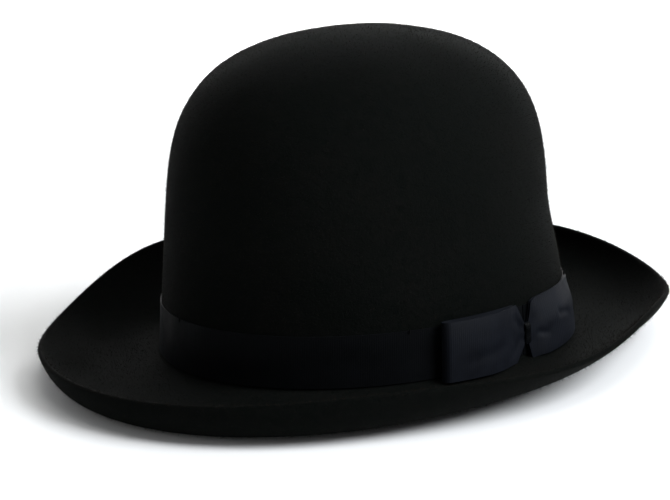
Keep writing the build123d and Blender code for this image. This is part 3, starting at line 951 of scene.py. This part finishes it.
class BOWLER_OT_stage(bpy.types.Operator):
    """Pale floor and backdrop, soft light and the camera"""
    bl_idname = "bowler.stage"
    bl_label = "Stage"

    def execute(self, context):
        scene = context.scene
        scene.view_settings.view_transform = "Standard"
        material, tree = new_material("pale paper")
        place = add(tree, "ShaderNodeTexCoord").outputs["Object"]
        grain = add(tree, "ShaderNodeTexNoise", {"Vector": place, "Scale": per(2.0), "Detail": 2.0})
        bump = add(tree, "ShaderNodeBump", {"Height": grain.outputs["Fac"], "Strength": 0.05, "Distance": 0.0002})
        finish_material(tree, linear("#f7f7f6"), bump, Roughness=0.9)
        # The paper lies flat, bends up behind the hat and runs on as a wall, in metres.
        flat, bend, tall, half = 1.6, 1.4, 7.0, 8.0
        profile = [(-6.0, 0.0), (flat, 0.0)] + [(flat + bend * math.sin(a), bend - bend * math.cos(a))
                                                for a in np.linspace(0, math.pi / 2, 24)[1:]]
        profile.append((flat + bend, tall))
        into, side = outward(VIEW_TURN + 180, 0), outward(VIEW_TURN + 90, 0)
        points = np.array([into * run + UP * rise + side * wide for run, rise in profile for wide in (-half, half)])
        mesh = bpy.data.meshes.new("paper_sweep")
        mesh.from_pydata(points.tolist(), [], quads(len(profile), 2, False, flip=True))
        mesh.polygons.foreach_set("use_smooth", [True] * len(mesh.polygons))
        mesh.materials.append(material)
        put("paper_sweep", mesh)

        scene.world = bpy.data.worlds.new("soft white")
        scene.world.use_nodes = True
        sky = scene.world.node_tree.nodes["Background"].inputs
        sky["Color"].default_value, sky["Strength"].default_value = (0.93, 0.96, 1.0, 1.0), 0.2
        # Name, turn round the hat and lift in degrees, distance and width in metres, watts, colour.
        for name, turn, lift, far, size, power, tint in (
                ("key", 100, 36, 1.9, 1.2, 52, (0.93, 0.96, 1.0)),
                ("overhead", 80, 75, 1.9, 1.2, 8, (1.0, 1.0, 1.0)),
                ("fill", 0, 25, 2.4, 2.0, 4, (1.0, 0.98, 0.95)),
                ("rim", 170, 40, 2.0, 1.0, 6, (1.0, 1.0, 1.0))):
            spot = outward(turn, lift)
            self.shine(name, spot, spot * far + UP * 0.07, size, power, tint)
        # From behind the hat, on the paper only.
        self.shine("backdrop", unit(UP * 0.5 - into), into * 1.3 + UP * 1.6, 1.6, 120, (1.0, 1.0, 1.0))

        eye = outward(VIEW_TURN, VIEW_HEIGHT)
        top, tilt = np.cross(eye, side), math.radians(VIEW_TILT)
        axes = np.array([side * math.cos(tilt) - top * math.sin(tilt),
                         side * math.sin(tilt) + top * math.cos(tilt), eye])
        lens = bpy.data.cameras.new("view")
        lens.lens, lens.sensor_width = VIEW_LENS, 36.0
        lens.shift_x, lens.shift_y = VIEW_SHIFT
        lens.clip_start, lens.clip_end = 0.05, 50.0
        scene.camera = put("view", lens)
        scene.camera.matrix_world = (Matrix.Translation(settle(eye * VIEW_DISTANCE + UP * VIEW_AIM))
                                     @ Matrix((axes @ LAY.T).T.tolist()).to_4x4())
        return {"FINISHED"}

    def shine(self, name, back, place, size, power, tint):
        """Round lamp at a place, shining against the direction given."""
        light = bpy.data.lights.new(name, "AREA")
        light.shape, light.size, light.energy, light.color = "DISK", size, power, tint
        side = unit(np.cross(UP, back))
        axes = np.array([side, np.cross(back, side), back]).T
        put(name, light).matrix_world = Matrix.Translation(place) @ Matrix(axes.tolist()).to_4x4()


STEPS = (BOWLER_OT_felt, BOWLER_OT_nap, BOWLER_OT_band, BOWLER_OT_bow, BOWLER_OT_sweatband, BOWLER_OT_lining,
         BOWLER_OT_trim, BOWLER_OT_stage)


class BOWLER_PT_panel(bpy.types.Panel):
    """Pieces of the bowler hat"""
    bl_idname = "BOWLER_PT_panel"
    bl_label = "Bowler Hat"
    bl_space_type = "VIEW_3D"
    bl_region_type = "UI"
    bl_category = "Bowler Hat"

    def draw(self, context):
        for group in (context.scene.bowler_cloth, context.scene.bowler_sizes):
            for name in group.__annotations__:
                self.layout.prop(group, name)
        for step in STEPS:
            self.layout.operator(step.bl_idname)


CLASSES = (BOWLER_PG_cloth, BOWLER_PG_sizes, *STEPS, BOWLER_PT_panel)


def register():
    for cls in CLASSES:
        bpy.utils.register_class(cls)
    bpy.types.Scene.bowler_cloth = bpy.props.PointerProperty(type=BOWLER_PG_cloth)
    bpy.types.Scene.bowler_sizes = bpy.props.PointerProperty(type=BOWLER_PG_sizes)


def unregister():
    del bpy.types.Scene.bowler_cloth
    del bpy.types.Scene.bowler_sizes
    for cls in reversed(CLASSES):
        bpy.utils.unregister_class(cls)


def main():
    register()
    for step in (bpy.ops.bowler.felt, bpy.ops.bowler.nap, bpy.ops.bowler.band, bpy.ops.bowler.bow,
                 bpy.ops.bowler.sweatband, bpy.ops.bowler.lining, bpy.ops.bowler.trim, bpy.ops.bowler.stage):
        step()


if __name__ == "__main__":
    main()
